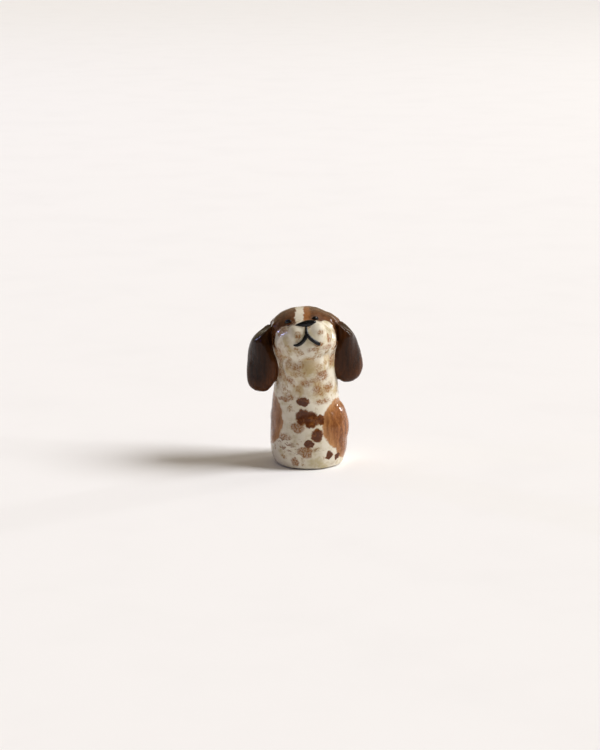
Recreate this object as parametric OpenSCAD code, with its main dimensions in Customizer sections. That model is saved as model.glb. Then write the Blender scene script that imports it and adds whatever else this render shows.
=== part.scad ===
// Small glazed ceramic dog figurine with long drop ears, looking up.
// Millimetres, +Z up, the dog faces -Y and its own left side is +X.
// Every piece is one lump of clay or bead of slip, luted to its neighbour face to face.

/* [Torso] */
// Height of the flat joint between torso and head
torso_h = 28; // [24:0.5:34]
// Width of the body at its widest
body_w = 22.2; // [18:0.2:27]
// Width of the neck at the head joint
neck_w = 17.4; // [14.5:0.2:21]
// Height up to which the body keeps its full width
shoulder_z = 9.5; // [6:0.5:14]
// Rounding of the foot edge
foot_r = 2; // [0.5:0.1:3]
// Thickness of the clay wall
wall_t = 3.7; // [2.5:0.1:4.5]
// Length of the head's spigot inside the neck
spigot_l = 3; // [1.5:0.1:4]
// Clearance between spigot and neck bore, filled by slip
slip_gap = 0.1; // [0.02:0.01:0.3]

/* [Head] */
// Width of the skull across the cheeks
head_w = 17.2; // [14:0.2:21]
// Depth of the skull from brow to nape
head_d = 16.6; // [14:0.2:21]
// Height of the crown above the middle of the skull
crown_h = 9.4; // [7:0.2:12]
// Height of the middle of the skull above the neck joint
skull_z = 7.6; // [5:0.2:10]
// Radius of the vent pricked up into the skull
vent_r = 1.5; // [0.8:0.1:1.9]
// Tilt of the head to the dog's right, in degrees
roll = 5; // [0:0.5:10]
// Turn of the head to the dog's left, in degrees
yaw = 3; // [0:0.5:15]

/* [Muzzle] */
// Width of the muzzle
muzzle_w = 10.8; // [9:0.2:13]
// Height of the muzzle
muzzle_h = 10; // [8:0.2:12]
// Depth of the rounded muzzle front
muzzle_d = 8; // [6:0.2:10]
// Distance from the middle of the skull to the middle of the muzzle
muzzle_out = 10.2; // [8:0.2:12]
// Height of the middle of the muzzle above the middle of the skull
muzzle_up = 2.5; // [1:0.1:4]
// Upward tilt of the muzzle, in degrees
pitch = 18; // [0:1:30]

/* [Face] */
// Diameter of each eye bead
eye_dia = 1.8; // [1.2:0.1:2.6]
// Distance between the eyes
eye_gap = 7.5; // [6:0.1:9]
// Height of the eyes above the middle of the skull
eye_up = 7; // [5:0.1:8]
// How far the pair of eyes sits to the dog's right of the middle
eye_shift = 0.6; // [0:0.1:1]
// Width of the nose pad
nose_w = 5.4; // [4:0.1:7]
// Height of the nose pad at its middle
nose_h = 1.9; // [1.2:0.1:2.6]
// Thickness of the trailed mouth line
mouth_t = 0.8; // [0.5:0.05:1.2]
// Distance between the ends of the mouth line
mouth_w = 7.8; // [6:0.1:8.6]

/* [Ears] */
// Length of each ear flap
ear_l = 19; // [15:0.5:22]
// Width of each ear flap
ear_w = 9.6; // [7:0.1:12]
// Thickness of each ear flap
ear_t = 4.4; // [3:0.1:5.5]
// Distance of each ear's middle from the middle of the head
ear_out = 12.2; // [10.5:0.1:14]
// Turn of the flap's inner edge towards the face, in degrees
ear_wrap = 33; // [10:1:50]

/* [Haunches and tail] */
// How far each haunch stands proud of the body
haunch_proud = 0.8; // [0.4:0.1:1.5]
// Diameter of each haunch
haunch_dia = 15; // [10:0.5:17]
// Diameter of the tail at its root
tail_dia = 3.6; // [2.5:0.1:5]
// Length of the docked tail up the back
tail_l = 7; // [4:0.5:10]

/* [Hidden] */

glaze_white = "#E9E3D6";
glaze_brown = "#5A3620";
glaze_tan = "#96643C";
slip_black = "#141416";

facets = 32;           // around a modelled form
steps = 9;             // slices along a modelled form
slice_t = 0.12;        // thickness of one slice
round_facets = 96;     // around a turned form
cutter_l = 50;         // longer than any piece
skull_power = 2.6;     // how square the crown is, 2 is a plain dome
brow_lean = 0.06;      // how far the crown leans forward, as a share of its depth
cheek_drop = 1.43;     // how far the cheeks run down, as a share of the crown's height
throat_share = 0.77;   // width of the throat's filling, as a share of the skull's
throat_inset = 0.2;    // keeps the filling just inside the neck
brow_share = 0.8;      // how far out on the brow the eyes stand
muzzle_root = [3, 2];  // how far the muzzle's root stays inside the middle and the sides of the skull
muzzle_droop = 0.08;   // how far that root hangs, as a share of the muzzle's height
nose_up = 0.36;        // height of the nose pad on the muzzle, as a share of the muzzle's height
fork_drop = 0.4;       // from the nose pad down to the fork of the mouth, as the same share
branch_drop = 0.2;     // from the fork down to the ends of the mouth, as the same share
ear_root = 0.52;       // breadth of the ear at its root and at its tip, as shares of its widest
ear_tip = 0.8;
ear_widest = 0.6;      // where along the ear it is widest
ear_height = 0.62;     // where on the crown the ear springs
tail_taper = 0.35;
body_axis = [1.4, 1.4];                // stands the overall box over the origin
head_axis = body_axis + [-1.5, -0.7];  // the head leans forward and to the right
skull_mid = [head_axis[0], head_axis[1], torso_h + skull_z];
spigot_r = neck_w / 2 - wall_t;
left_haunch_at = [64, 11.5];           // angle from the front and height
right_haunch_at = [-84, 14];
tail_at = [2, 3.4];                    // sideways and up

function clamp01(t) = min(1, max(0, t));
function ease(t) = t * t * (3 - 2 * t);
function mix(a, b, t) = a + (b - a) * t;

// Radius of the body at a height, with its rounded foot
function body_r(z) = mix(body_w, neck_w, ease(clamp01((z - shoulder_z) / (torso_h - shoulder_z)))) / 2
    - (z < foot_r ? foot_r - sqrt(foot_r * foot_r - pow(foot_r - z, 2)) : 0);
body_heights = concat([for (a = [0:22.5:67.5]) foot_r * (1 - cos(a))],
    [for (i = [0:16]) mix(foot_r, torso_h, i / 16)]);

// Half a swelling, from 1 at the middle to nothing at the tip
function swell(t, power) = pow(max(0, 1 - pow(abs(t), power)), 1 / power);

// Joins a row of discs, each [place, half width, half depth]
module loft(rows) {
    for (i = [0:len(rows) - 2])
        hull()
            for (row = [rows[i], rows[i + 1]])
                translate(row[0])
                    scale([row[1], row[2], 1])
                        cylinder(r = 1, h = slice_t, $fn = facets);
}

// The head's own frame: middle of the skull, face towards -Y
module in_head() translate(skull_mid) rotate([0, -roll, yaw]) children();

// The muzzle's own frame, tilted up inside the head's
module in_muzzle()
    in_head() translate([0, -muzzle_out, muzzle_up]) rotate([-pitch, 0, 0]) children();

// A point on the rounded front of the muzzle, out by the given amount
function on_muzzle(x, z, out = 0) = [x, out - muzzle_d / 2
    * sqrt(max(0, 1 - pow(2 * x / muzzle_w, 2) - pow(2 * z / muzzle_h, 2))), z];

// The body as one turned lump, before it is hollowed
module body_form(grow = 0)
    translate([body_axis[0], body_axis[1], 0])
        rotate_extrude($fn = round_facets)
            polygon(concat([[0, 0]], [for (z = body_heights) [body_r(z) + grow, z]], [[0, torso_h]]));

module torso() {
    hollow_top = torso_h - spigot_l;
    color(glaze_white)
        difference() {
            body_form();
            translate([body_axis[0], body_axis[1], 0])
                rotate_extrude($fn = round_facets)
                    polygon([[0, -1], [body_w / 2 - wall_t, -1], [body_w / 2 - wall_t, shoulder_z],
                        [spigot_r - slip_gap, hollow_top - 1], [0, hollow_top - 1]]);
            translate([body_axis[0], body_axis[1], shoulder_z])
                cylinder(r = spigot_r, h = torso_h, $fn = round_facets);
        }
}

// A slice of the skull at a share of the crown's height, straight down below the middle
function skull_slice(t) = let (up = max(0, t), wide = swell(up, skull_power))
    [[0, -brow_lean * head_d * up, crown_h * t], head_w / 2 * wide, head_d / 2 * wide];

// Skull, brow and throat before the sockets and the vent are taken out
module head_form() {
    intersection() {
        union() {
            in_head()
                loft([for (t = concat([-cheek_drop, -cheek_drop / 2], [for (i = [0:steps - 1])
                    sin(90 * i / (steps - 0.6))])) skull_slice(t)]);
            hull() {
                in_muzzle() translate([0, 0, -muzzle_h / 6]) scale([muzzle_w, muzzle_d, muzzle_h] / 3)
                    sphere(r = 1, $fn = facets);
                translate([body_axis[0], body_axis[1], torso_h - spigot_l])
                    cylinder(r = neck_w / 2 - throat_inset, h = slice_t, $fn = facets);
                in_head() translate([0, 0, muzzle_up])
                    scale([head_w, head_d, 1.6 * crown_h] / 2 * throat_share)
                        sphere(r = 1, $fn = facets);
            }
        }
        translate([-cutter_l, -cutter_l, torso_h]) cube([2, 2, 1] * cutter_l);
    }
}

module head() {
    color(glaze_brown)
        difference() {
            union() {
                head_form();
                translate([body_axis[0], body_axis[1], torso_h - spigot_l])
                    cylinder(r = spigot_r - slip_gap, h = spigot_l + 1, $fn = round_facets / 2);
            }
            translate([body_axis[0], body_axis[1], torso_h - spigot_l - 1])
                cylinder(r = vent_r, h = skull_z + spigot_l + 1, $fn = facets);
            eye_beads(slip_gap / 2);
        }
}

module muzzle_form()
    in_muzzle()
        for (i = [0:7])
            hull()
                for (t = [i / 8, (i + 1) / 8])
                    translate([0, muzzle_out - muzzle_root[0], -muzzle_h * muzzle_droop] * (1 - t))
                        scale([mix(head_w - muzzle_root[1], muzzle_w, t), mix(head_d / 2, muzzle_d, t),
                            muzzle_h] / 2)
                            sphere(r = 1, $fn = facets);

module muzzle() {
    color(glaze_white)
        difference() {
            muzzle_form();
            head_form();
            eye_beads(slip_gap / 2);
            nose_form(slip_gap / 4);
            mouth_form(slip_gap / 4);
        }
}

// Eyes stand on the brow, half sunk in their sockets
module eye_bead(side, grow = 0)
    in_head()
        translate([side * eye_gap / 2 - eye_shift,
            -head_d / 2 * swell(eye_up / crown_h, skull_power) * brow_share - eye_dia / 2, eye_up])
            sphere(r = eye_dia / 2 + grow, $fn = round_facets / 2);

module eye_beads(grow) for (side = [-1, 1]) eye_bead(side, grow);
module left_eye() color(slip_black) eye_bead(1);
module right_eye() color(slip_black) eye_bead(-1);

// Wedge of black slip across the top of the muzzle, narrowing to the philtrum
nose_z = muzzle_h * nose_up;
module nose_form(grow = 0) {
    r = nose_h / 3;
    corners = [[-1, 0.3], [1, 0.3], [-0.5, 1], [0.5, 1], [0, -1]];
    in_muzzle()
        hull()
            for (p = corners)
                translate(on_muzzle(p[0] * (nose_w / 2 - r), nose_z + p[1] * nose_h / 2, r / 3))
                    sphere(r = r + grow, $fn = facets / 2);
}
module nose() color(slip_black) nose_form();

// Trailed line: philtrum, fork and two branches that curl out and down
fork_z = nose_z - muzzle_h * fork_drop;
function branch(side, t) = [side * mouth_w / 2 * t, fork_z - muzzle_h * branch_drop * pow(sin(90 * t), 1.4)];
module trail(points, grow)
    for (i = [0:len(points) - 2])
        hull()
            for (p = [points[i], points[i + 1]])
                translate(on_muzzle(p[0], p[1])) sphere(r = mouth_t / 2 + grow, $fn = facets / 2);

module mouth_form(grow = 0)
    in_muzzle() {
        trail([[0, nose_z - nose_h / 2], [0, mix(nose_z, fork_z, 0.7)], [0, fork_z]], grow);
        for (side = [-1, 1])
            trail([for (i = [0:4]) branch(side, i / 4)], grow);
    }
module mouth_line() color(slip_black) difference() { mouth_form(); nose_form(slip_gap / 4); }

// Drop ear: a thick strap off the crown that widens, hangs and ends in a round tip
function ear_mid(t) = [ear_out * mix(0.4, 1, sin(90 * clamp01(t / 0.45))),
    0, crown_h * ear_height - (ear_l - ear_w / 4) * pow(t, 1.35)];
function ear_size(t) = t < ear_widest ? mix(ear_root, 1, ease(t / ear_widest))
    : mix(1, ear_tip, ease((t - ear_widest) / (1 - ear_widest)));
module ear(side)
    color(glaze_brown)
        difference() {
            in_head()
                for (i = [0:steps - 1])
                    hull()
                        for (t = [i / steps, (i + 1) / steps])
                            translate([side * ear_mid(t)[0], ear_mid(t)[1], ear_mid(t)[2]])
                                rotate([0, 0, side * ear_wrap])
                                    scale([ear_w * ear_size(t), ear_t, 0.55 * ear_w] / 2)
                                        sphere(r = 1, $fn = 24);
            head_form();
            body_form(slip_gap);
            haunch_form(side > 0 ? left_haunch_at : right_haunch_at, slip_gap);
        }
module left_ear() ear(1);
module right_ear() ear(-1);

// Round thigh pad pressed on the side of the body, at an angle from the front and a height
module haunch_form(at, grow = 0)
    intersection() {
        difference() {
            body_form(haunch_proud + grow);
            body_form();
        }
        translate([body_axis[0], body_axis[1], at[1]])
            rotate([0, 90, at[0] - 90])
                cylinder(d = haunch_dia + 2 * grow, h = body_w, $fn = round_facets);
    }
module left_haunch() color(glaze_tan) haunch_form(left_haunch_at);
module right_haunch() color(glaze_tan) haunch_form(right_haunch_at);

// Docked tail laid up the back
module tail()
    color(glaze_brown)
        difference() {
            for (i = [0:7])
                hull()
                    for (t = [i / 8, (i + 1) / 8])
                        translate([body_axis[0] + tail_at[0] * t, body_axis[1] + body_w / 2 - 0.1 * tail_dia,
                            tail_at[1] + tail_l * t])
                            sphere(d = tail_dia * (1 - tail_taper * t), $fn = 24);
            body_form(slip_gap / 5);
        }

torso();
head();
muzzle();
left_ear();
right_ear();
left_eye();
right_eye();
nose();
mouth_line();
left_haunch();
right_haunch();
tail();
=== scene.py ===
# A thumb-sized ceramic spaniel: hand-pressed clay, brushed underglaze, clear gloss glaze.
import math

import bpy
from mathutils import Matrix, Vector


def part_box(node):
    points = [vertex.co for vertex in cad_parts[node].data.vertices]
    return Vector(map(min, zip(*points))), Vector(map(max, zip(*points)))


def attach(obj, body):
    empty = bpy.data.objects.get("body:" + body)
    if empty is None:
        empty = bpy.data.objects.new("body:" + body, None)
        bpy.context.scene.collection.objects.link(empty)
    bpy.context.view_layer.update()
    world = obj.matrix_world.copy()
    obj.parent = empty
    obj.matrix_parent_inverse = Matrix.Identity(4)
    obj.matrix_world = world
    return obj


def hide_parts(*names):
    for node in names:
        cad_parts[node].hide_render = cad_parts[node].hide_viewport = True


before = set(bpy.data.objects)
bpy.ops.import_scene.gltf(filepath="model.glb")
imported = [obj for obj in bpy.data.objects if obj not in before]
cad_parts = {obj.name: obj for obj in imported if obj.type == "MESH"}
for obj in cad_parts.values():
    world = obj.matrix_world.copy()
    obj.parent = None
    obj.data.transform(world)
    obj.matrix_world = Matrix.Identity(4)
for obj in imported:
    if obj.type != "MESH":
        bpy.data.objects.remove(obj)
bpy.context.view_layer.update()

mm = 0.001

# Everything is measured in millimetres from the middle of the torso's foot, which the frame gives.
torsoLow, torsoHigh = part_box("torso")
footMiddle = Vector(((torsoLow.x + torsoHigh.x) / 2, (torsoLow.y + torsoHigh.y) / 2, torsoLow.z))
neckHeight = (torsoHigh.z - torsoLow.z) / mm


def place(x, y, z):
    # A point in millimetres from the middle of the foot, as metres in the frame.
    return footMiddle + Vector((x, y, z)) * mm


def measure(point):
    # The other way round: a point of the frame in millimetres from the middle of the foot.
    return (Vector(point) - footMiddle) / mm


def leaveEditMode():
    if bpy.context.object and bpy.context.object.mode != "OBJECT":
        bpy.ops.object.mode_set(mode="OBJECT")


def pickOnly(*pieces):
    leaveEditMode()
    bpy.ops.object.select_all(action="DESELECT")
    for piece in pieces:
        piece.select_set(True)
    bpy.context.view_layer.objects.active = pieces[0]


def startPrimitive(addPrimitive, name, **settings):
    # Adds one primitive with nothing else selected, and goes straight into edit mode.
    leaveEditMode()
    bpy.ops.object.select_all(action="DESELECT")
    addPrimitive(**settings)
    piece = bpy.context.object
    piece.name = name
    bpy.ops.object.mode_set(mode="EDIT")
    bpy.ops.mesh.select_all(action="SELECT")
    return piece


def settle(piece):
    # Back to object mode, with the place left in the mesh and the faces turned outwards.
    bpy.ops.object.mode_set(mode="EDIT")
    bpy.ops.mesh.select_all(action="SELECT")
    bpy.ops.mesh.normals_make_consistent(inside=False)
    bpy.ops.object.mode_set(mode="OBJECT")
    pickOnly(piece)
    bpy.ops.object.transform_apply(location=True, rotation=True, scale=True)
    return piece


def turn(degrees, axis, centre):
    # Without a window transform.rotate turns the other way, so the angle is negated here.
    if degrees:
        bpy.ops.transform.rotate(value=-math.radians(degrees), orient_axis=axis, center_override=centre)


def finishWith(piece, kind, **settings):
    # Adds a modifier, sets it up and applies it.
    pickOnly(piece)
    modifier = piece.modifiers.new(kind.lower(), kind)
    for name, value in settings.items():
        setattr(modifier, name, value)
    bpy.ops.object.modifier_apply(modifier=modifier.name)
    if piece.modifiers:  # an operation that fails leaves its modifier behind
        raise RuntimeError("the " + kind + " on " + piece.name + " was not applied")
    return piece


def copyOf(piece, name):
    twin = piece.copy()
    twin.data = piece.data.copy()
    twin.name = name
    bpy.context.scene.collection.objects.link(twin)
    return twin


def discard(*pieces):
    for piece in pieces:
        bpy.data.objects.remove(piece)


def rollOut(name, rings, sides=40):
    # Rolls a coil of clay from ring to ring. A ring is (x, y, z, half width, half depth, spin,
    # tip, lean): its middle and halves in mm, then its turns about Z, X and Y in degrees.
    turnsOf = ((5, "Z"), (6, "X"), (7, "Y"))
    rings = [tuple(ring) + (0,) * (8 - len(ring)) for ring in rings]

    def dress(ring, sign):
        for slot, axis in turnsOf[::sign]:
            turn(sign * ring[slot], axis, place(*ring[:3]))

    first = rings[0]
    coil = startPrimitive(bpy.ops.mesh.primitive_circle_add, name, vertices=sides,
                          radius=mm, fill_type="NGON", location=place(*first[:3]))
    bpy.ops.transform.resize(value=(first[3], first[4], 1), center_override=place(*first[:3]))
    dress(first, 1)
    for before, ring in zip(rings, rings[1:]):
        bpy.ops.mesh.extrude_region_move(TRANSFORM_OT_translate={"value": (0, 0, 0)})
        dress(before, -1)
        bpy.ops.transform.translate(value=place(*ring[:3]) - place(*before[:3]))
        growth = (ring[3] / before[3], ring[4] / before[4], 1)
        bpy.ops.transform.resize(value=growth, center_override=place(*ring[:3]))
        dress(ring, 1)
    return settle(coil)


def pressBall(name, at, halves, spin):
    # A ball of clay pressed to three half sizes and spun about Z.
    ball = startPrimitive(bpy.ops.mesh.primitive_uv_sphere_add, name, segments=40, ring_count=24,
                          radius=mm, location=place(*at))
    bpy.ops.transform.resize(value=halves, center_override=place(*at))
    turn(spin, "Z", place(*at))
    return settle(ball)


def joinUp(name, lumps):
    pickOnly(*lumps)
    bpy.ops.object.join()
    lumps[0].name = name
    return lumps[0]


def carve(piece, tool, operation):
    return finishWith(piece, "BOOLEAN", operation=operation, object=tool, solver="MANIFOLD")


def swell(piece, amount):
    return finishWith(piece, "DISPLACE", strength=amount * mm, mid_level=0)


# The figure is one soft lump of clay first, and is cut back into its pieces afterwards.
bodyForm = {
    # (height, sideways, back, half width, half depth) of each ring
    "rings": [
        (0.0, -0.2, 0.0, 9.5, 9.9), (0.4, -0.2, 0.0, 9.75, 10.1), (1.5, -0.25, 0.0, 10.15, 10.4),
        (2.8, -0.2, 0.0, 10.55, 10.7), (4.2, -0.15, 0.0, 10.85, 10.9), (6.0, -0.1, -0.1, 11.05, 11.0),
        (8.5, -0.1, -0.1, 11.05, 11.0), (11.0, -0.2, -0.1, 10.95, 10.8), (13.0, -0.4, -0.2, 10.7, 10.5),
        (15.0, -0.65, -0.3, 10.3, 10.1), (17.5, -0.95, -0.5, 9.7, 9.7), (20.0, -1.1, -0.8, 9.15, 9.3),
        (22.5, -0.95, -1.2, 9.15, 9.3), (25.5, -1.0, -1.6, 8.7, 9.4), (28.5, -1.1, -2.0, 8.4, 9.6),
        (31.5, -1.25, -2.3, 8.6, 10.0), (34.5, -1.4, -2.3, 9.2, 10.2), (37.0, -1.5, -1.9, 9.3, 9.8),
        (39.2, -1.6, -1.3, 9.3, 9.2), (41.1, -1.65, -0.9, 8.8, 8.4), (42.6, -1.6, -0.8, 7.7, 7.3),
        (43.8, -1.45, -0.7, 5.9, 5.6), (44.6, -1.3, -0.6, 3.7, 3.6), (44.85, -1.2, -0.6, 1.5, 1.4),
    ],
}


def rollBody():
    return rollOut("bodyForm", [(side, back, up, wide, deep)
                                for up, side, back, wide, deep in bodyForm["rings"]], sides=56)


muzzleForm = {
    # (forward, sideways, height, half width, half height, tip) of each ring, nape to nose
    "rings": [
        (1.0, -1.7, 35.8, 8.4, 6.3, 90), (6.0, -1.7, 36.1, 8.6, 6.5, 89),
        (9.0, -1.5, 36.6, 8.0, 6.3, 86),
        (11.5, -1.2, 37.3, 6.9, 5.8, 82), (13.3, -1.0, 38.1, 5.7, 5.0, 79), (14.3, -0.85, 38.6, 4.4, 4.0, 76),
        (14.9, -0.75, 38.9, 2.7, 2.4, 74), (15.1, -0.7, 39.1, 0.9, 0.8, 74),
    ],
    "roll": -9,
    "reachesBack": 5.5,  # mm in front of the middle where the muzzle ends and the skull begins
    # middle, half sizes and spin of the two lips, the chin, the throat and the two cheeks
    "swellings": [
        ((-3.5, -12.0, 39.2), (2.9, 2.9, 3.3), 12), ((1.8, -11.9, 39.9), (2.9, 2.9, 3.5), -12),
        ((-0.8, -11.6, 35.6), (3.4, 2.6, 3.0), 0), ((-1.1, -8.3, 31.0), (6.6, 4.7, 7.0), 0),
        ((-6.9, -6.6, 35.0), (3.1, 4.2, 4.4), 20), ((4.3, -6.5, 36.0), (3.2, 4.2, 4.6), -20),
    ],
}


def rollMuzzle():
    muzzle = rollOut("muzzleForm", [(side, -forward, up, wide, tall, 0, tip, muzzleForm["roll"])
                                    for forward, side, up, wide, tall, tip in muzzleForm["rings"]])
    finishWith(muzzle, "SUBSURF", levels=2, render_levels=2)
    for at, halves, spin in muzzleForm["swellings"]:
        swelling = pressBall("swelling", at, halves, spin)
        carve(muzzle, swelling, "UNION")
        discard(swelling)
    return muzzle


earForms = {
    # (out, back, height, half thickness, half breadth, spin, lean) of each ring, root to tip
    "right_ear": [
        (-5.8, -0.4, 41.6, 2.2, 3.4, 0, -66), (-9.4, -0.5, 41.3, 2.5, 3.9, 0, -54),
        (-11.8, -0.7, 39.7, 2.8, 4.2, 4, -44), (-13.3, -0.9, 37.2, 2.9, 4.7, 12, -24),
        (-13.8, -1.3, 34.4, 2.8, 5.3, 26, -6), (-13.3, -1.9, 31.2, 2.5, 6.0, 38, 0),
        (-13.2, -2.3, 28.2, 2.4, 6.2, 45, 0), (-13.6, -2.4, 25.2, 2.4, 5.5, 46, 0),
        (-14.0, -2.4, 23.0, 2.2, 4.5, 46, 0), (-14.1, -2.4, 21.6, 1.6, 3.0, 46, 0),
        (-14.1, -2.4, 21.0, 0.7, 1.2, 46, 0),
    ],
    "left_ear": [
        (3.6, -0.3, 42.0, 2.2, 3.4, 0, 66), (6.8, -0.3, 41.6, 2.4, 3.8, 0, 52),
        (9.4, -0.4, 40.3, 2.5, 4.0, -6, 38), (10.3, -0.6, 37.5, 2.6, 4.5, -14, 16),
        (10.4, -0.8, 34.2, 2.6, 5.3, -28, 4), (10.6, -0.9, 31.2, 2.5, 5.9, -38, 0),
        (11.05, -1.0, 28.8, 2.4, 5.8, -44, 0), (11.2, -1.0, 26.5, 2.4, 5.0, -45, 0),
        (11.1, -1.0, 24.9, 2.1, 4.0, -45, 0), (11.0, -1.0, 23.9, 1.4, 2.5, -45, 0),
        (11.0, -1.0, 23.5, 0.6, 1.0, -45, 0),
    ],
}


def rollEar(name):
    return rollOut(name + "Form", [(out, back, up, thick, broad, spin, 0, lean)
                                   for out, back, up, thick, broad, spin, lean in earForms[name]], sides=32)


haunchForms = {
    # middle, half sizes and spin of the thigh pressed on each side
    "left_haunch": {"at": (3.1, -1.4, 10.6), "halves": (8.0, 8.8, 10.2), "spin": -26},
    "right_haunch": {"at": (-3.3, -0.4, 13.2), "halves": (7.9, 8.8, 9.8), "spin": 8},
}

tailForm = {
    # (sideways, back, height, half width, half thickness) of each ring, root to tip
    "rings": [
        (0.0, 10.4, 1.6, 1.2, 1.0), (0.1, 10.7, 2.6, 2.0, 1.8), (0.4, 10.8, 4.6, 2.1, 1.9),
        (0.9, 10.7, 7.0, 1.9, 1.7), (1.5, 10.5, 9.2, 1.6, 1.5), (1.9, 10.2, 10.8, 1.1, 1.0),
        (2.1, 10.0, 11.4, 0.4, 0.4),
    ],
}

hollowForm = {
    # (sideways, back, height, half width, half depth) of each ring of the space scooped out below
    "rings": [
        (0, 0, -1, 7.3, 7.5), (0, 0, 4, 7.2, 7.4), (-0.3, -0.2, 12, 6.6, 6.6), (-0.8, -0.7, 19, 5.4, 5.4),
        (-0.9, -1.0, 23, 4.2, 4.2), (-0.9, -1.0, 24.6, 2.0, 2.0),
    ],
}

clay = {
    "grain": 0.24,         # mm between the points of the finished clay
    "strokes": 26,         # passes of a damp finger over the joins
    "dent": 0.2,           # mm that finger dents go in and out
    "dentWidth": 4.5,      # mm across one dent
    "seamRoom": 0.35,      # mm that a cutting form stands proud of the clay it cuts out
    "haunchThickness": 1.6,
    "block": 80,           # mm along each side of the blocks that slice the lump
    "weld": 0.001,         # mm: points nearer than this after a cut are one point
    "softEdge": 40,        # degrees: a sharper bend than this shows as an edge
    "oneCoat": 0.02,       # mm: a face this near the lump's skin is shaded as part of it
}


def dentByHand(piece):
    # Low uneven dents all over, as fingers leave them.
    dents = bpy.data.textures.new("fingerDents", "CLOUDS")
    dents.noise_scale = clay["dentWidth"] * mm
    dents.noise_depth = 1
    return finishWith(piece, "DISPLACE", texture=dents, strength=clay["dent"] * 2 * mm,
                      mid_level=0.5, texture_coords="LOCAL")


def keepLargest(piece):
    # Drops any crumbs that a cut left beside the piece.
    pickOnly(piece)
    bpy.ops.object.mode_set(mode="EDIT")
    bpy.ops.mesh.select_all(action="SELECT")
    bpy.ops.mesh.remove_doubles(threshold=clay["weld"] * mm)
    bpy.ops.mesh.separate(type="LOOSE")
    bpy.ops.object.mode_set(mode="OBJECT")
    parts = sorted(bpy.context.selected_objects, key=lambda part: len(part.data.vertices))
    kept = parts.pop()
    kept.name = piece.name
    if parts:
        discard(*parts)
    return kept


def sliceAway(piece, sideways, back, up):
    # Takes away all the clay inside a plain block with the given middle.
    block = startPrimitive(bpy.ops.mesh.primitive_cube_add, "block", size=clay["block"] * mm,
                           location=place(sideways, back, up))
    carve(piece, settle(block), "DIFFERENCE")
    discard(block)
    return piece


slip = {
    # Places on the face are (sideways, height) as seen by a painter looking slightly down at it.
    "painterLooksDown": 13,   # degrees
    "faceAt": 14,             # mm in front of the middle, where those heights are measured
    "painterStandsOff": 20,   # mm further out, from where the brush comes
    # (sideways, height, half height, half thickness) of each ring of the nose, thin end first
    "nose": [(-4.1, 42.45, 0.15, 0.2), (-3.3, 42.6, 0.42, 0.4), (-2.3, 42.75, 0.72, 0.6),
             (-1.15, 42.8, 1.1, 0.75), (-0.1, 42.95, 1.15, 0.75), (0.75, 43.2, 0.92, 0.65),
             (1.45, 43.45, 0.55, 0.45), (1.85, 43.5, 0.18, 0.2)],
    # (sideways, height, half thickness) of each ring of the three strokes of the mouth
    "mouth": [
        [(-0.95, 42.3, 0.3), (-0.95, 41.7, 0.34), (-0.9, 40.9, 0.45), (-0.85, 40.2, 0.6),
         (-0.85, 39.5, 0.45)],
        [(-0.75, 40.5, 0.4), (-0.95, 39.6, 0.55), (-1.35, 38.6, 0.58), (-2.0, 37.7, 0.56),
         (-2.9, 37.0, 0.52), (-3.8, 36.7, 0.42), (-4.6, 36.9, 0.24)],
        [(-0.95, 40.4, 0.4), (-0.55, 39.6, 0.55), (0.2, 38.7, 0.56), (1.1, 38.0, 0.56), (2.1, 37.4, 0.58),
         (3.05, 36.9, 0.42)],
    ],
    # the same for the two eyes, each one short touch of the bulb
    "eyes": {
        "right_eye": [(-7.05, 43.62, 0.12), (-6.75, 43.64, 0.5), (-6.2, 43.7, 0.72), (-5.65, 43.74, 0.66),
                      (-5.2, 43.7, 0.36), (-5.0, 43.66, 0.1)],
        "left_eye": [(0.65, 44.6, 0.1), (0.85, 44.6, 0.4), (1.3, 44.62, 0.68), (1.8, 44.62, 0.7),
                     (2.3, 44.56, 0.42), (2.55, 44.5, 0.1)],
    },
    "sink": 0.35,          # share of a stroke that is under the surface
    "flatness": 0.85,      # depth of a stroke beside its half width, where none is given
    "bead": 0.1,           # mm between the points of the dried slip
    "softening": {"eyes": 5, "nose": 6, "mouth_line": 4},  # passes as each one dries
}


def surfaceAt(clayLump, sideways, height, withFacing=False):
    # Where the painter's brush touches the clay, in millimetres, and which way the clay faces.
    down = math.radians(slip["painterLooksDown"])
    way = Vector((0, math.cos(down), -math.sin(down)))
    start = place(sideways, -slip["faceAt"], height) - way * slip["painterStandsOff"] * mm
    hit, where, facing, face = clayLump.ray_cast(start, way)
    return (measure(where), facing) if withFacing else measure(where)


def trailStroke(name, clayLump, stroke):
    # A stroke of thick slip: rings across its own way, sunk a little into the clay.
    rings = []
    for index, (side, up, half, *deep) in enumerate(stroke):
        before, after = stroke[max(index - 1, 0)], stroke[min(index + 1, len(stroke) - 1)]
        way = math.degrees(math.atan2(after[0] - before[0], after[1] - before[1]))
        deep = deep[0] if deep else half * slip["flatness"]
        spot = surfaceAt(clayLump, side, up)
        rings.append((side, spot.y - deep * (1 - 2 * slip["sink"]), spot.z, half, deep, 0, 0, way))
    return finishWith(rollOut(name, rings, sides=16), "SUBSURF", levels=1, render_levels=1)


def dryOut(piece, passes):
    # Strokes run together as they dry, and their edges soften with each pass.
    finishWith(piece, "REMESH", mode="VOXEL", voxel_size=slip["bead"] * mm)
    return finishWith(piece, "SMOOTH", factor=0.5, iterations=passes)


print("rolling the clay")
bodyLump = rollBody()
core = swell(finishWith(copyOf(bodyLump, "core"), "SUBSURF", levels=2, render_levels=2),
             -clay["haunchThickness"])
cutters = {"muzzle": rollMuzzle(), "tail": rollOut("tailForm", tailForm["rings"], sides=24)}
for name in earForms:
    cutters[name] = rollEar(name)
for name, form in haunchForms.items():
    cutters[name] = pressBall(name + "Form", form["at"], form["halves"], form["spin"])
for name, cutter in cutters.items():
    if name != "muzzle":
        finishWith(cutter, "SUBSURF", levels=2, render_levels=2)

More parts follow.
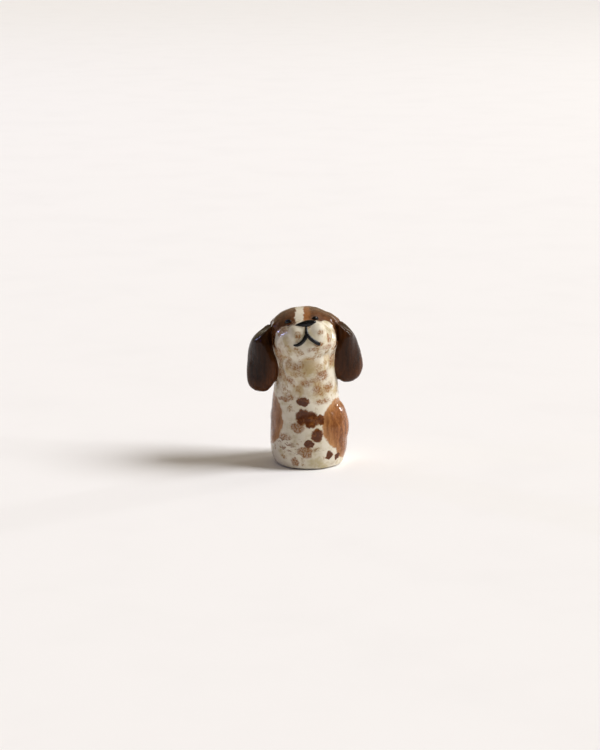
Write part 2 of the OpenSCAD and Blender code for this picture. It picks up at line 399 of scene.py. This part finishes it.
print("pressing the lumps together and smoothing the joins")
lump = joinUp("lump", [finishWith(bodyLump, "SUBSURF", levels=2, render_levels=2)]
              + [copyOf(cutter, "pressed") for cutter in cutters.values()])
finishWith(lump, "REMESH", mode="VOXEL", voxel_size=clay["grain"] * mm)
finishWith(lump, "SMOOTH", factor=0.5, iterations=clay["strokes"])
dentByHand(lump)

print("laying the black slip")
softening = slip["softening"]
pieces = {name: dryOut(trailStroke(name, lump, stroke), softening["eyes"])
          for name, stroke in slip["eyes"].items()}
pieces["nose"] = dryOut(trailStroke("nose", lump, slip["nose"]), softening["nose"])
mouthStrokes = [trailStroke("mouth_line", lump, stroke) for stroke in slip["mouth"]]
pieces["mouth_line"] = dryOut(joinUp("mouth_line", mouthStrokes), softening["mouth_line"])

print("cutting the lump back into its pieces")
rest = copyOf(lump, "rest")
for name in ("left_ear", "right_ear", "muzzle", "left_haunch", "right_haunch", "tail"):
    cutter = swell(cutters[name], clay["seamRoom"])
    if name in ("left_haunch", "right_haunch", "tail"):
        carve(cutter, core, "DIFFERENCE")
    if name == "muzzle":
        sliceAway(cutter, 0, clay["block"] / 2 - muzzleForm["reachesBack"], neckHeight)
    pieces[name] = carve(copyOf(rest, name), cutter, "INTERSECT")
    carve(rest, cutter, "DIFFERENCE")
pieces["head"] = sliceAway(copyOf(rest, "head"), 0, 0, neckHeight - clay["block"] / 2)
hollow = finishWith(rollOut("hollowForm", hollowForm["rings"]), "SUBSURF", levels=1, render_levels=1)
pieces["torso"] = carve(sliceAway(rest, 0, 0, neckHeight + clay["block"] / 2), hollow, "DIFFERENCE")
pieces["torso"].name = "torso"
for name in pieces:
    pieces[name] = keepLargest(pieces[name])
    print("  ", name, len(pieces[name].data.polygons), "faces")
discard(core, hollow, *cutters.values())


def toLinear(code):
    # "8a5a33" as sRGB hex to the linear colour that a shader wants.
    channels = [int(code[i:i + 2], 16) / 255 for i in (0, 2, 4)]
    return tuple(c / 12.92 if c <= 0.04045 else ((c + 0.055) / 1.055) ** 2.4 for c in channels) + (1,)


def add(tree, kind, sockets=None, **settings):
    # Adds one shader node. A socket takes a plain value or another node's output.
    made = tree.nodes.new("ShaderNode" + kind)
    for name, value in settings.items():
        setattr(made, name, value)
    for socket, value in (sockets or {}).items():
        if isinstance(value, bpy.types.NodeSocket):
            tree.links.new(value, made.inputs[socket])
        else:
            made.inputs[socket].default_value = value
    return made


def newMaterial(name, **finish):
    m = bpy.data.materials.new(name)
    m.use_nodes = True
    shader = m.node_tree.nodes["Principled BSDF"]
    for socket, value in finish.items():
        shader.inputs[socket.replace("_", " ")].default_value = value
    return m, m.node_tree, shader


def onTheClay(tree):
    # Object coordinates in millimetres from the middle of the foot.
    coordinates = add(tree, "TexCoord").outputs["Object"]
    return add(tree, "Mapping", {"Vector": coordinates, "Location": -footMiddle / mm,
                                 "Scale": (1 / mm,) * 3}).outputs[0]


def wander(tree, where, width, amount):
    # Pushes a pattern about by up to the given mm, so that its edges are a brush's and not a ruler's.
    noise = add(tree, "TexNoise", {"Vector": where, "Scale": 1 / width, "Detail": 2.0})
    push = add(tree, "VectorMath", {0: noise.outputs["Color"], 1: (0.5,) * 3}, operation="SUBTRACT")
    push = add(tree, "VectorMath", {0: push.outputs[0], "Scale": 4 * amount}, operation="SCALE")
    return add(tree, "VectorMath", {0: where, 1: push.outputs[0]}).outputs[0]


def dab(tree, where, spot, soft):
    # A mask that is 1 inside one dab of the brush and 0 outside it.
    at, halves, turned = spot
    local = add(tree, "Mapping", {"Vector": where, "Location": at, "Scale": halves,
                                  "Rotation": [math.radians(a) for a in turned]}, vector_type="TEXTURE")
    far = add(tree, "VectorMath", {0: local.outputs[0]}, operation="LENGTH")
    return add(tree, "MapRange", {"Value": far.outputs["Value"], "From Min": 1 + soft,
                                  "From Max": 1 - soft}, interpolation_type="SMOOTHSTEP").outputs[0]


def dabs(tree, where, spots, soft):
    # All the dabs of one colour as one mask.
    mask = None
    for spot in spots:
        one = dab(tree, where, spot, soft)
        if mask is None:
            mask = one
        else:
            mask = add(tree, "Math", {0: mask, 1: one}, operation="MAXIMUM").outputs[0]
    return mask


def layers(tree, base, *coats):
    # Lays coats of colour over a base, each one a (mask, colour) pair.
    colour = base
    for mask, over in coats:
        colour = add(tree, "Mix", {0: mask, 6: colour, 7: over}, data_type="RGBA").outputs[2]
    return colour


def speckle(tree, where, width, sparse, edge):
    # Small irregular flecks of the given width; a higher "sparse" leaves fewer of them.
    noise = add(tree, "TexNoise", {"Vector": where, "Scale": 1 / width, "Detail": 3.0, "Roughness": 0.6})
    return add(tree, "MapRange", {"Value": noise.outputs[0], "From Min": sparse,
                                  "From Max": sparse + edge}, interpolation_type="SMOOTHSTEP").outputs[0]


def streaks(tree, where, along, across, low, high):
    # Streaks left by the brush: noise drawn out up the piece, from low to high.
    drawn = add(tree, "Mapping", {"Vector": where, "Scale": (1 / across, 1 / across, 1 / along)})
    noise = add(tree, "TexNoise", {"Vector": drawn.outputs[0], "Scale": 1.0, "Detail": 4.0,
                                   "Roughness": 0.65})
    return add(tree, "MapRange", {"Value": noise.outputs[0], "From Min": 0.35, "From Max": 0.65,
                                  "To Min": low, "To Max": high}).outputs[0]


def bounded(tree, where, axis, start, stop):
    # A mask that rises from 0 at start to 1 at stop along X, Y or Z.
    along = add(tree, "SeparateXYZ", {0: where}).outputs[axis]
    return add(tree, "MapRange", {"Value": along, "From Min": start, "From Max": stop},
               interpolation_type="SMOOTHSTEP").outputs[0]


paint = {
    "white": "d9d1bf", "creamPool": "bcae8a", "wash": "ad8d55", "tan": "9a7445", "rust": "8a5a2c",
    "ticks": "7d532c", "dark": "522910", "darkEdge": "8a5427", "brown": "6a4226", "brownDeep": "472a15",
    "patch": "996337", "patchEdge": "c79a66", "patchDeep": "5c3218", "ear": "341b0a",
    # the grey of the thin slip is partly a painted glint
    "earEdge": "583013", "earDeep": "1c0e06", "slip": "08080a", "slipThinAndGlint": "2b292a", "bareClay": "b9aa93",
    # painter's (sideways, height, width, height) of the dark dabs on the chest and belly
    "darkDabs": [
        (-1.8, 20.7, 3.8, 2.9), (-1.8, 16.4, 4.3, 4.5), (0.5, 15.5, 4.4, 4.7), (3.15, 15.6, 2.0, 3.1),
        (2.2, 11.0, 3.5, 3.8), (-0.1, 8.5, 2.8, 2.2), (5.6, 5.3, 1.9, 2.5), (7.8, 5.1, 1.5, 1.9),
    ],
    # the same for the thinner tan dabs, for the faint ones put on with a sponge and the painted shade of the
    # ears on the neck, and for the ticks
    "washDabs": [
        (-1.2, 6.2, 4.2, 3.4), (-4.1, 3.4, 2.2, 2.4), (-3.4, 13.2, 3.8, 2.8), (3.5, 29.0, 3.2, 1.6),
        (5.2, 39.0, 0.8, 2.6), (-7.4, 21.6, 3.0, 1.4), (2.6, 37.0, 2.6, 1.2),
    ],
    "tanDabsAndNeckShade": [
        (-6.8, 10.6, 3.0, 1.8), (-7.4, 41.6, 3.4, 1.6),
        (-5.6, 22.0, 2.6, 1.6), (3.6, 20.8, 4.2, 1.6), (-4.0, 30.5, 2.4, 2.2), (-5.4, 27.0, 2.2, 2.4),
        (3.6, 27.9, 3.0, 2.6), (-1.4, 26.0, 3.2, 2.0), (2.0, 24.0, 2.6, 3.0), (5.4, 25.2, 2.0, 2.6),
        (1.4, 35.6, 3.0, 1.3), (5.0, 36.4, 2.4, 1.6), (3.0, 40.4, 1.8, 1.4), (-3.3, 39.4, 1.6, 2.2),
        (-8.1, 40.6, 1.6, 1.8), (-8.6, 35.4, 1.8, 1.5), (5.5, 38.6, 0.8, 2.4),
        # the first two here are painted shade: rust down each side of the neck where the ears shadow it
        (-8.8, 34.0, 1.8, 4.8), (6.3, 33.4, 1.7, 4.6), (-8.4, 29.2, 1.6, 3.0),
    ],
    "tickDabs": [(-7.0, 9.0, 4.6, 5.0), (-3.4, 14.0, 4.0, 3.0), (-4.6, 6.6, 4.0, 2.6), (2.6, 6.9, 4.0, 1.2)],
    "ticksPerMm": (0.45, 0.45, 1.9),  # level ones are wide and low
    "dabDepth": 3.0,       # half of how far into the clay a dab's colour reaches, in mm
    "slant": 0.4,          # cosine of the steepest slant over which a dab is still drawn out
    # (turn from the front, height, half width, half height, lean) of the thigh patches
    "patches": [(62, 12.4, 7.6, 7.4, 8), (72, 7.6, 5.4, 5.6, 0), (-84, 13.6, 8.0, 7.8, 0)],
    "patchDepth": 6.0,     # the same as dabDepth, for the patches and the back's dabs
    "bodyMiddle": -0.4,    # mm sideways
    "bodyReach": 10.6,     # mm from that middle out to the patches and the back's dabs
    # middle, halves and turns of what the brown of the head leaves bare: face, cheeks and blaze
    "bareFace": [
        ((-1.2, -13.0, 34.8), (8.7, 11.5, 8.0), (0, -6, 0)),
        ((1.4, -13.0, 40.8), (4.2, 5.0, 2.6), (0, -6, 0)),
        ((-6.6, -10.0, 37.4), (3.6, 6.0, 3.9), (0, 0, 0)),
        ((4.6, -9.5, 38.6), (3.5, 6.0, 4.4), (0, 0, 0)),
    ],
    # the brown of the head ends at this height in front, and lower behind, between two depths
    "capEnds": 34.6, "napeLower": 5.0, "capSlopes": (-4.0, 8.0), "capEdge": 0.4,
    "blaze": ((-2.8, -4.5, 44.5), (1.15, 10.0, 9.0), (0, 4, 0)),
    "blazeRim": ((-1.9, -4.5, 44.5), (2.0, 10.0, 9.0), (0, 4, 0)),
    # turn, height, half width, half height and lean of the dabs round the back
    "backDabs": [(150, 20.0, 2.6, 2.0, 0), (-152, 17.5, 3.2, 2.6, 10), (178, 27.0, 2.4, 2.0, 0),
                 (128, 24.5, 1.8, 1.5, 0), (-128, 25.5, 2.0, 1.6, 0), (-138, 5.5, 1.6, 1.4, 0),
                 (140, 6.0, 2.2, 2.0, 0), (-165, 8.0, 1.3, 1.1, 0)],
}


def seenSpot(clayLump, sideways, height, wide, tall):
    # A dab seen by the painter, laid flat on the clay: its place, halves and turns.
    spot, facing = surfaceAt(clayLump, sideways, height, withFacing=True)
    spin = math.degrees(math.atan2(facing.x, -facing.y))
    stretched = wide / 2 / max(math.cos(math.radians(spin)), paint["slant"])
    return spot, (stretched, paint["dabDepth"], tall / 2), (0, 0, spin)


def roundSpot(turned, height, wide, tall, lean):
    # A dab on the side or back, given by its turn about the body.
    angle = math.radians(turned)
    outwards = Vector((math.sin(angle), -math.cos(angle), 0)) * paint["bodyReach"]
    at = outwards + Vector((paint["bodyMiddle"], 0, height))
    return at, (wide, paint["patchDepth"], tall), (0, lean, turned)


sponge = {
    # the wash laid between these heights is partly painted shade: warm tan down the throat under the chin
    "chestFrom": (19.0, 22), "chestTo": (40, 33),  # heights in mm over which its marks grow and fade
    "apart": 0.57, "closerOnChest": 0.09,          # how bare the sponge leaves the white
    "blotch": 2.4, "grain": 0.5, "pool": 3.6,      # mm across each kind of mark
    "grainShows": (0.34, 0.9),                     # share of colour beside a grain and in it
    "dabShows": (0.62, 0.95),                      # the same within the thinner tan dabs
    "washAndShadeShows": 0.5,
}


def spongedMasks(tree, where, loose, fine, spots):
    # What a nearly dry sponge leaves: blotches of fine grains, a thin wash that is partly painted shade down
    # the throat, and faint dabs, two of them painted shade of the ears on the neck.
    onChest = add(tree, "Math", {0: bounded(tree, loose, "Z", *sponge["chestFrom"]),
                                 1: bounded(tree, loose, "Z", *sponge["chestTo"])}, operation="MULTIPLY")
    threshold = add(tree, "Math", {0: onChest.outputs[0], 1: -sponge["closerOnChest"],
                                   2: sponge["apart"]}, operation="MULTIPLY_ADD")
    blotch = add(tree, "TexNoise", {"Vector": loose, "Scale": 1 / sponge["blotch"], "Detail": 4.0,
                                    "Roughness": 0.6})
    blotch = add(tree, "Math", {0: blotch.outputs[0], 1: threshold.outputs[0]}, operation="SUBTRACT")
    blotch = add(tree, "MapRange", {"Value": blotch.outputs[0], "From Min": 0.0, "From Max": 0.12},
                 interpolation_type="SMOOTHSTEP")
    beside, within = sponge["grainShows"]
    grains = add(tree, "MapRange", {"Value": speckle(tree, where, sponge["grain"], sparse=0.44, edge=0.12),
                                    "To Min": beside, "To Max": within})
    pools = speckle(tree, loose, sponge["pool"], sparse=0.4, edge=0.22)
    # the wash is partly painted shade: warm tan over the throat under the chin
    wash = add(tree, "Math", {0: onChest.outputs[0], 1: pools}, operation="MULTIPLY")
    wash = add(tree, "Math", {0: wash.outputs[0], 1: sponge["washAndShadeShows"]}, operation="MULTIPLY")
    flecks = add(tree, "Math", {0: blotch.outputs[0], 1: grains.outputs[0]}, operation="MULTIPLY")
    # the faint dabs include painted shade of the ears on the neck
    faintDabsAndNeckShade = add(tree, "Math", {0: dabs(tree, loose, spots["tan"], soft=0.5), 1: grains.outputs[0]},
                operation="MULTIPLY")
    thinnest, thickest = sponge["dabShows"]
    thin = add(tree, "MapRange", {"Value": grains.outputs[0], "From Min": beside, "From Max": within,
                                  "To Min": thinnest, "To Max": thickest})
    thin = add(tree, "Math", {0: dabs(tree, fine, spots["wash"], soft=0.2), 1: thin.outputs[0]},
               operation="MULTIPLY")
    return wash.outputs[0], flecks.outputs[0], faintDabsAndNeckShade.outputs[0], thin.outputs[0]


def tickedMask(tree, loose, fine, spots):
    # Short level ticks of a nearly dry brush.
    drawn = add(tree, "Mapping", {"Vector": fine, "Scale": paint["ticksPerMm"]})
    ticks = speckle(tree, drawn.outputs[0], width=1.0, sparse=0.5, edge=0.08)
    ticks = add(tree, "MapRange", {"Value": ticks, "To Max": 0.8})
    return add(tree, "Math", {0: dabs(tree, loose, spots["ticks"], soft=0.4), 1: ticks.outputs[0]},
               operation="MULTIPLY").outputs[0]


def brushedPatch(tree, loose, spots):
    # The thigh patches: streaky in the middle, paler where the brush ran out.
    heart = dabs(tree, loose, spots["patches"], soft=0.5)
    drawn = streaks(tree, loose, along=8.0, across=1.2, low=0.0, high=0.95)
    drawn = add(tree, "Math", {0: heart, 1: drawn}, operation="MULTIPLY")
    return layers(tree, toLinear(paint["patchEdge"]), (heart, toLinear(paint["patch"])),
                  (drawn.outputs[0], toLinear(paint["patchDeep"])))


def darkBlot(tree, fine, spots):
    # The dark dabs are thin at their rims and in a few places within.
    return layers(tree, toLinear(paint["darkEdge"]),
                  (dabs(tree, fine, spots["dark"], soft=0.35), toLinear(paint["dark"])),
                  (speckle(tree, fine, width=1.3, sparse=0.47, edge=0.3), toLinear(paint["darkEdge"])))


def capMask(tree, loose, fine):
    # The brown of the head ends above the nape and leaves the face and the blaze bare.
    nape = add(tree, "Math", {0: bounded(tree, loose, "Y", *paint["capSlopes"]),
                              1: -paint["napeLower"], 2: paint["capEnds"]}, operation="MULTIPLY_ADD")
    height = add(tree, "SeparateXYZ", {0: loose}).outputs["Z"]
    above = add(tree, "Math", {0: height, 1: nape.outputs[0]}, operation="SUBTRACT")
    cap = add(tree, "MapRange", {"Value": above.outputs[0], "From Min": -paint["capEdge"],
                                 "From Max": paint["capEdge"]})
    for bare in (dabs(tree, loose, paint["bareFace"], soft=0.05),
                 dab(tree, fine, paint["blaze"], soft=0.18)):
        covered = add(tree, "Math", {0: 1.0, 1: bare}, operation="SUBTRACT")
        cap = add(tree, "Math", {0: cap.outputs[0], 1: covered.outputs[0]}, operation="MULTIPLY")
    return cap.outputs[0]


def cappedBrown(tree, loose, fine):
    # The brown is drawn out by the brush, and lighter along the blaze.
    rim = add(tree, "Math", {0: dab(tree, fine, paint["blazeRim"], soft=0.3), 1: 0.75}, operation="MULTIPLY")
    return layers(tree, toLinear(paint["brown"]),
                  (streaks(tree, loose, along=3.5, across=1.3, low=0.0, high=0.9),
                   toLinear(paint["brownDeep"])),
                  (rim.outputs[0], toLinear(paint["patch"])))


def paintedColour(tree, where, spots):
    # The whole figure's painting as one colour, in the order in which it is brushed on.
    loose = wander(tree, where, width=1.6, amount=0.35)
    fine = wander(tree, loose, width=0.7, amount=0.2)
    wash, flecks, faintDabsAndNeckShade, thin = spongedMasks(tree, where, loose, fine, spots)
    return layers(
        tree, toLinear(paint["white"]),
        (speckle(tree, where, width=3.5, sparse=0.42, edge=0.3), toLinear(paint["creamPool"])),
        # the throat wash, partly painted shade under the chin
        (wash, toLinear(paint["wash"])),
        (flecks, toLinear(paint["tan"])),
        # faint rust dabs, two of them painted shade of the ears on the neck
        (faintDabsAndNeckShade, toLinear(paint["rust"])),
        (thin, toLinear(paint["rust"])),
        (tickedMask(tree, loose, fine, spots), toLinear(paint["ticks"])),
        (dabs(tree, loose, spots["patches"], soft=0.04), brushedPatch(tree, loose, spots)),
        (dabs(tree, fine, spots["dark"], soft=0.12), darkBlot(tree, fine, spots)),
        (capMask(tree, loose, fine), cappedBrown(tree, loose, fine)))


glaze = {
    "swell": 2.2,          # mm across one swell of pooled glaze
    "swellHeight": 3.0,    # times as high as the orange peel
    "roughness": (0.18, 0.34),
}


def glazeSurface(tree, shader, where, grain, depth):
    # Glaze that has pooled unevenly: a slow swell and a fine orange peel under the clear coat.
    slow = add(tree, "TexNoise", {"Vector": where, "Scale": 1 / glaze["swell"], "Detail": 2.0})
    peel = add(tree, "TexNoise", {"Vector": where, "Scale": 1 / grain, "Detail": 3.0})
    height = add(tree, "Math", {0: slow.outputs[0], 1: glaze["swellHeight"], 2: peel.outputs[0]},
                 operation="MULTIPLY_ADD")
    bump = add(tree, "Bump", {"Height": height.outputs[0], "Strength": 0.5, "Distance": depth * mm})
    tree.links.new(bump.outputs[0], shader.inputs["Normal"])
    tree.links.new(bump.outputs[0], shader.inputs["Coat Normal"])
    smoothest, roughest = glaze["roughness"]
    rough = add(tree, "MapRange", {"Value": peel.outputs[0], "To Min": smoothest, "To Max": roughest})
    tree.links.new(rough.outputs[0], shader.inputs["Roughness"])


def paintedStoneware(name, spots):
    # Stoneware, underglaze brushed on and fired under clear gloss glaze: soft colour under a wet shine.
    m, tree, shader = newMaterial(name, Specular_IOR_Level=0.1, Coat_Weight=0.4, Coat_Roughness=0.04)
    where = onTheClay(tree)
    bareFoot = bounded(tree, wander(tree, where, width=1.2, amount=0.1), "Z", start=0.45, stop=0.25)
    colour = layers(tree, paintedColour(tree, where, spots), (bareFoot, toLinear(paint["bareClay"])))
    tree.links.new(colour, shader.inputs["Base Color"])
    glazeSurface(tree, shader, where, grain=0.7, depth=0.03)
    return m


def brownGlaze(name, middle, halves, turned):
    # Iron-brown glaze run down the ear: dark where it lies thick, breaking to rust at the thin rim.
    m, tree, shader = newMaterial(name, Specular_IOR_Level=0.03, Coat_Weight=0.22, Coat_Roughness=0.04)
    where = onTheClay(tree)
    loose = wander(tree, where, width=2.0, amount=0.3)
    thick = dab(tree, loose, (middle, halves, turned), soft=0.22)
    rim = add(tree, "Math", {0: 1.0, 1: thick}, operation="SUBTRACT")
    drawn = streaks(tree, loose, along=7.0, across=0.7, low=0.3, high=1.0)
    rim = add(tree, "Math", {0: rim.outputs[0], 1: drawn}, operation="MULTIPLY")
    colour = layers(tree, toLinear(paint["ear"]),
                    (streaks(tree, loose, along=9.0, across=1.0, low=0.0, high=0.9),
                     toLinear(paint["earDeep"])),
                    (rim.outputs[0], toLinear(paint["earEdge"])))
    tree.links.new(colour, shader.inputs["Base Color"])
    glazeSurface(tree, shader, where, grain=0.8, depth=0.035)
    return m


def blackSlip(name):
    # Black slip trailed from a bulb under gloss glaze: raised, wet-looking and nearly colourless.
    m, tree, shader = newMaterial(name, Specular_IOR_Level=0.03, Coat_Weight=0.5, Coat_Roughness=0.04)
    where = onTheClay(tree)
    # grey flecks where the slip broke thin, and partly painted glints on the nose, eyes and mouth
    thinSlipAndGlints = speckle(tree, where, width=0.35, sparse=0.5, edge=0.25)
    colour = layers(tree, toLinear(paint["slip"]), (thinSlipAndGlints, toLinear(paint["slipThinAndGlint"])))
    tree.links.new(colour, shader.inputs["Base Color"])
    glazeSurface(tree, shader, where, grain=0.25, depth=0.04)
    return m


# middle, halves and turns of where the brown glaze lies thick on each piece
thickGlaze = {
    "tail": ((1.0, 10.5, 6.5), (2.6, 3.0, 6.5), (0, 8, 0)),
    "left_ear": ((10.3, -1.0, 33), (5.0, 5.0, 10.5), (0, 8, 0)),
    "right_ear": ((-13.4, -2.0, 32), (5.0, 5.0, 11.5), (0, -4, 0)),
}

print("painting and glazing")
spots = {
    "dark": [seenSpot(lump, *spot) for spot in paint["darkDabs"]]
            + [roundSpot(*spot) for spot in paint["backDabs"]],
    # the tan spots include painted shade of the ears on the neck
    "tan": [seenSpot(lump, *spot) for spot in paint["tanDabsAndNeckShade"]],
    "wash": [seenSpot(lump, *spot) for spot in paint["washDabs"]],
    "ticks": [seenSpot(lump, *spot) for spot in paint["tickDabs"]],
    "patches": [roundSpot(*spot) for spot in paint["patches"]],
}
body = paintedStoneware("painted stoneware", spots)
slipGlaze = blackSlip("black slip")
finishes = {
    "torso": (body, "white_glaze"), "muzzle": (body, "white_glaze"), "head": (body, "brown_glaze"),
    "left_haunch": (body, "tan_glaze"), "right_haunch": (body, "tan_glaze"),
}
for name, thick in thickGlaze.items():
    finishes[name] = (brownGlaze(name.replace("_", " ") + " glaze", *thick), "brown_glaze")
ofSlip = ("left_eye", "right_eye", "nose", "mouth_line")
for name in ofSlip:
    finishes[name] = (slipGlaze, "black_slip")
pickOnly(lump)
bpy.ops.object.shade_smooth()
for name, piece in pieces.items():
    pickOnly(piece)
    bpy.ops.object.shade_smooth_by_angle(angle=math.radians(clay["softEdge"]))
    if name not in ofSlip:  # the cuts between pieces don't show through one coat of glaze
        finishWith(piece, "DATA_TRANSFER", object=lump, use_loop_data=True,
                   data_types_loops={"CUSTOM_NORMAL"}, loop_mapping="POLYINTERP_NEAREST",
                   use_max_distance=True, max_distance=clay["oneCoat"] * mm)
    material, slot = finishes[name]
    piece.data.materials.clear()
    piece.data.materials.append(material)
    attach(piece, "root")
    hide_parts(name)
discard(lump)


studio = {
    "floor": "f0efef", "floorTooth": "eeeded", "backdrop": "f3eeea", "floorSize": 8,
    "sky": "ffecc8", "skyOverhead": 0.24, "skyLow": 0.05, "skyBehind": 0.3,
    # energy, angular size, elevation and turn from straight ahead of the dog, towards its left
    "suns": {"key": (3.5, 28, 41, 85, "fcfcff"), "fill": (0.04, 50, 30, -15, "fff0d8")},
    # brightness, place in metres and size in metres of the cards whose reflections the glaze shows
    "cards": {
        "window": (40.0, (-2.1, -0.3, 0.4), (0.05, 0.35), "6f7bff"),
        "backLeft": (55.0, (-1.6, 1.2, 0.55), (0.05, 0.4), "b4bcff"),
        "backRight": (90.0, (1.8, 1.3, 0.5), (0.08, 0.4), "ffffff"),
        "sideRight": (80.0, (2.1, -0.45, 0.9), (0.05, 0.3), "ffffff"),
        "overhead": (0.9, (1.0, 0.75, 2.1), (0.8, 0.8), "fff8f0"),
    },
}


def buildStage():
    # Smooth card: pale, matt, with a barely visible tooth.
    floor = startPrimitive(bpy.ops.mesh.primitive_plane_add, "floor", size=studio["floorSize"],
                           location=(0, 0, 0))
    settle(floor)
    m, tree, shader = newMaterial("pale card", Roughness=0.9, Specular_IOR_Level=0.0)
    where = onTheClay(tree)
    tooth = speckle(tree, where, width=40, sparse=0.4, edge=0.4)
    colour = layers(tree, toLinear(studio["floor"]), (tooth, toLinear(studio["floorTooth"])))
    tree.links.new(colour, shader.inputs["Base Color"])
    floor.data.materials.append(m)


def lightStudio():
    world = bpy.data.worlds.new("studio")
    bpy.context.scene.world = world
    world.use_nodes = True
    tree = world.node_tree
    direction = add(tree, "SeparateXYZ", {0: add(tree, "TexCoord").outputs["Generated"]})
    strength = add(tree, "MapRange", {"Value": direction.outputs["Z"], "From Min": 0.0, "From Max": 0.9,
                                      "To Min": studio["skyLow"], "To Max": studio["skyOverhead"]})
    behind = add(tree, "MapRange", {"Value": direction.outputs["Y"], "From Min": 0.1, "From Max": 0.7,
                                    "To Max": studio["skyBehind"]})
    strength = add(tree, "Math", {0: strength.outputs[0], 1: behind.outputs[0]}, operation="ADD")
    # seen directly, the sky is a backdrop as pale as the floor
    direct = add(tree, "LightPath").outputs["Is Camera Ray"]
    strength = add(tree, "Math", {0: strength.outputs[0], 1: direct}, operation="MAXIMUM")
    background = tree.nodes["Background"]
    colour = layers(tree, toLinear(studio["sky"]), (direct, toLinear(studio["backdrop"])))
    tree.links.new(colour, background.inputs["Color"])
    tree.links.new(strength.outputs[0], background.inputs["Strength"])
    for name, (energy, angle, elevation, turned, colour) in studio["suns"].items():
        pointing = (math.radians(90 - elevation), 0, math.radians(turned))
        bpy.ops.object.light_add(type="SUN", rotation=pointing)
        sun = bpy.context.object
        sun.name = name
        sun.data.energy = energy
        sun.data.angle = math.radians(angle)
        sun.data.color = toLinear(colour)[:3]
    for name, (brightness, at, size, colour) in studio["cards"].items():
        facing = Vector(at).to_track_quat("Z", "Y").to_euler()
        bpy.ops.object.light_add(type="AREA", location=at, rotation=facing)
        card = bpy.context.object
        card.name = name
        card.data.shape = "RECTANGLE"
        card.data.size, card.data.size_y = size
        card.data.energy = brightness * math.pi * size[0] * size[1]
        card.data.color = toLinear(colour)[:3]


cameraSetup = {"elevation": 13, "distance": 590, "lens": 100, "sensor": 36, "aim": (-2.68, 0, 25.2)}


def aimCamera():
    angle = math.radians(cameraSetup["elevation"])
    aim = place(*cameraSetup["aim"])
    away = Vector((0, -math.cos(angle), math.sin(angle))) * cameraSetup["distance"] * mm
    bpy.ops.object.camera_add(location=aim + away, rotation=(math.pi / 2 - angle, 0, 0))
    camera = bpy.context.object
    camera.data.lens = cameraSetup["lens"]
    camera.data.sensor_width = cameraSetup["sensor"]
    camera.data.sensor_fit = "AUTO"
    bpy.context.scene.camera = camera


print("setting up the studio")
buildStage()
lightStudio()
aimCamera()
bpy.context.scene.view_settings.view_transform = "Standard"
